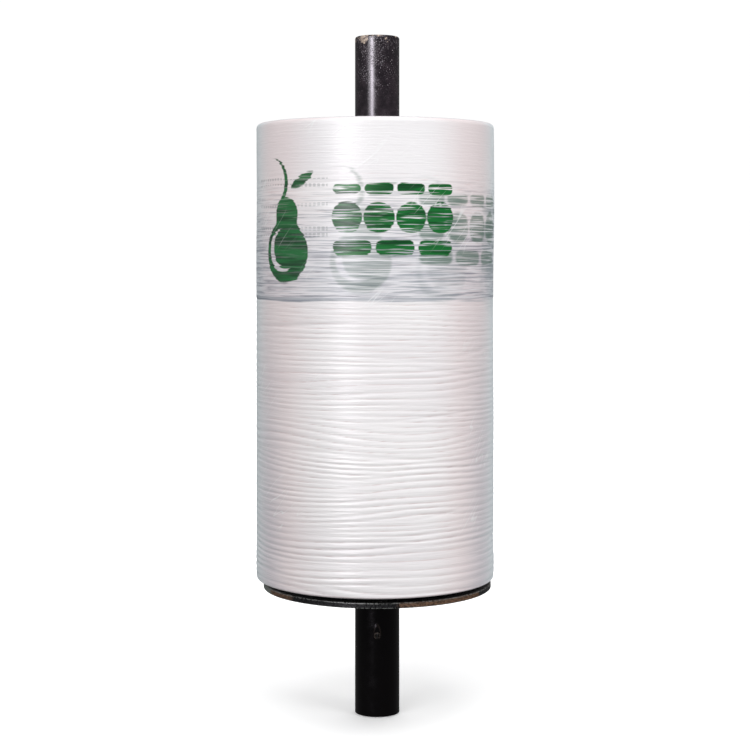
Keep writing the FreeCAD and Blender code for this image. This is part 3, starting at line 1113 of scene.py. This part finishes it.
def washer_plastic():
    """Natural nylon, slightly waxy, with circular scuffs from the roll's turning."""
    material, graph, surface = new_material("washer_nylon")
    place = graph.place()
    x, y, _ = graph.coordinates()
    radius = graph.length(graph.minus(x, ROLL_CENTRE), y)
    across = graph.join(radius, 0.0)
    rubs = graph.noise(across, scale=2400.0, detail=4.0)
    cloud = graph.noise(place, scale=90.0, detail=2.0)
    base = graph.blend(graph.span(cloud, 0.3, 0.7), colour(222, 216, 200), colour(236, 232, 220))
    base = graph.blend(graph.span(rubs, 0.55, 0.75, 0.0, 0.35), base, colour(150, 146, 138))
    set_finish(
        graph, surface,
        Base_Color=base,
        Roughness=graph.span(rubs, 0.3, 0.7, 0.34, 0.5),
        Subsurface_Weight=0.15,
        Subsurface_Scale=2 * MM,
        Normal=graph.bump(rubs, 0.2, 0.1 * MM),
    )
    return material


def turned_steel(name, bright, dull, roughness):
    """Coated steel with fine turning marks and a little spotting."""
    material, graph, surface = new_material(name)
    place = graph.place()
    x, y, z = graph.coordinates()
    profile = graph.join(graph.length(x, y), z)
    marks = graph.noise(profile, scale=5200.0, detail=3.0)
    spots = graph.noise(place, scale=320.0, detail=4.0)
    base = graph.blend(graph.span(spots, 0.42, 0.66), bright, dull)
    set_finish(
        graph, surface,
        Base_Color=base,
        Metallic=1.0,
        Roughness=graph.span(marks, 0.3, 0.7, roughness, roughness + 0.16),
        Normal=graph.bump(marks, 0.25, 0.05 * MM),
    )
    return material


def paint_node(node, material):
    """Gives a carried-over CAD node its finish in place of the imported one."""
    for place in frame["nodes"][node].material_slots:
        place.material = material


# ---------------------------------------------------------------- studio


def soft_light(name, place, size, watts, target=STUDIO_MIDDLE, shade=(1.0, 1.0, 1.0)):
    """A rectangular softbox that faces its target and that the camera can't see."""
    lamp = bpy.data.lights.new(name, "AREA")
    lamp.shape = "RECTANGLE"
    lamp.size, lamp.size_y = size
    lamp.energy = watts
    lamp.color = shade
    box = bpy.data.objects.new(name, lamp)
    bpy.context.scene.collection.objects.link(box)
    box.location = place
    aim = Vector(target) - Vector(place)
    box.rotation_euler = aim.to_track_quat("-Z", "Y").to_euler()
    box.visible_camera = False
    return box


def studio_world():
    """White to the camera, and a dimmer grey in reflections and as fill light."""
    world = bpy.data.worlds.new("studio")
    world.use_nodes = True
    bpy.context.scene.world = world
    graph = Graph(world.node_tree)
    back = world.node_tree.nodes["Background"]
    rays = graph.add("ShaderNodeLightPath")
    seen = rays.outputs["Is Camera Ray"]
    mirrored = rays.outputs["Is Glossy Ray"]
    strength = graph.math("MULTIPLY_ADD", mirrored, REFLECTED_WHITE - FILL_WHITE, FILL_WHITE)
    strength = graph.math("MULTIPLY_ADD", seen, SEEN_WHITE - FILL_WHITE, strength)
    graph.feed(back.inputs["Color"], (1.0, 1.0, 1.0, 1.0))
    graph.feed(back.inputs["Strength"], strength)


def pale_floor():
    """A pale floor that glows with painted light, dimmer near the post and brightening to the backdrop's
    white away from it.
    """
    place = (0.0, 0.0, -FLOOR_GAP)
    bpy.ops.mesh.primitive_circle_add(vertices=96, radius=FLOOR_RADIUS, fill_type="NGON", location=place)
    floor = bpy.context.object
    floor.name = "floor"
    material, graph, surface = new_material("floor_painted_glow")
    x, y, _ = graph.coordinates()
    away = graph.length(x, y)
    speckle = graph.noise(graph.place(), scale=60.0, detail=2.0)
    set_finish(
        graph, surface,
        Base_Color=graph.blend(speckle, colour(242, 242, 243), colour(246, 246, 246)),
        Roughness=0.8,
        Specular_IOR_Level=0.0,
        Emission_Color=(1.0, 1.0, 1.0, 1.0),
        # Painted light: the floor glows, less near the post and more away from it.
        Emission_Strength=graph.span(away, 0.06, 0.8, 0.26, 1.05),
    )
    floor.data.materials.append(material)
    floor.visible_glossy = False
    floor.visible_diffuse = False


def camera():
    """The camera, level with the roll's upper part.

    Its lens is shifted down to frame the whole post, but only at the camera's own place, so
    that views from elsewhere stay centred.
    """
    data = bpy.data.cameras.new("camera")
    data.lens = CAMERA_LENS
    eye = bpy.data.objects.new("camera", data)
    bpy.context.scene.collection.objects.link(eye)
    eye.location = CAMERA_PLACE
    eye.rotation_euler = (math.pi / 2, 0, 0)
    bpy.context.scene.camera = eye
    rule = data.driver_add("shift_y").driver
    rule.type = "SCRIPTED"
    depth = rule.variables.new()
    depth.name = "depth"
    depth.targets[0].id = eye
    depth.targets[0].data_path = "location[1]"
    rule.expression = f"{CAMERA_SHIFT} if abs(depth - {CAMERA_PLACE[1]}) < {CAMERA_NEAR} else 0.0"


def studio():
    """The surround, the floor, five softboxes and the camera."""
    studio_world()
    pale_floor()
    soft_light("key", (-0.56, -0.97, 0.74), size=(0.72, 0.60), watts=5.8)
    fill = soft_light("fill", (0.98, -0.80, 0.60), size=(0.60, 0.90), watts=6.8)
    fill.visible_glossy = False
    strip = soft_light(
        "strip", (-0.50, -0.98, 0.46), size=(0.24, 0.86), watts=6.4,
        target=(0.0, 0.0, 0.36), shade=(0.97, 0.93, 1.0),
    )
    strip.visible_diffuse = False
    soft_light("top", (0.0, -0.45, 1.20), size=(0.90, 0.60), watts=5.0, target=(0.0, 0.0, 0.30))
    rear = soft_light("rear", (0.2, 1.2, 0.8), size=(1.40, 0.80), watts=9.0)
    rear.visible_glossy = False
    camera()
    bpy.context.scene.view_settings.view_transform = "Standard"


# ---------------------------------------------------------------- build


def build():
    """All the modelled pieces, the finishes of the CAD nodes and the studio."""
    film = film_material()
    enamel = post_paint()
    pieces = [
        film_sheet("outer_bag_film", "outer_bag", tail=True),
        film_sheet("next_bag_film", "next_bag", tail=False),
        wound_film("wound_bags_film"),
    ]
    for piece in pieces:
        piece.data.materials.append(film)
    weld_bead("weld_bead").data.materials.append(enamel)
    paint_node("post_tube", enamel)
    paint_node("support_disc", disc_paint())
    paint_node("paper_core", core_board())
    paint_node("end_plug", plug_plastic())
    paint_node("slip_washer", washer_plastic())
    steel = turned_steel("insert_zinc", colour(196, 198, 202), colour(150, 150, 150), 0.28)
    paint_node("foot_insert", steel)
    dark_steel = turned_steel("pin_phosphate", colour(112, 104, 98), colour(70, 66, 62), 0.38)
    paint_node("spring_pin", dark_steel)
    studio()


build()
